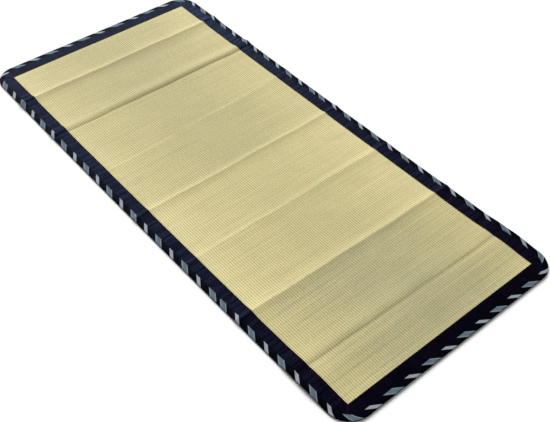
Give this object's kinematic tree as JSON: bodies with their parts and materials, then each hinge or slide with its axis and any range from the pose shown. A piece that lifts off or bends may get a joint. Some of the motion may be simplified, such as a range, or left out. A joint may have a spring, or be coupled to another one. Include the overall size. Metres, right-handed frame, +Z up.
{
  "type": "rush sleeping mat",
  "caption": "Woven rush sleeping mat with rounded corners and a dark folded cloth border, opened out flat on a floor with its storage creases showing.",
  "frame": {"origin": "on the floor under the mat, below the middle of its outline", "axes": "+X across the mat, +Y along it towards the end that lies far from the viewer in the picture, +Z up"},
  "size_m": [0.9057, 1.958, 0.0139],
  "materials": {
    "rush": "dried rushes woven over cords in ribs that run along the mat, pale straw with a soft sheen and fine cross-wise streaks",
    "border_cloth": "dark navy woven cloth, matt, with a row of slanted pale and blue-grey dashes along its outer edge"
  },
  "bodies": {
    "root": {"rush_panel": "rush", "border_near": "border_cloth", "border_far": "border_cloth"}
  },
  "joints": []
}
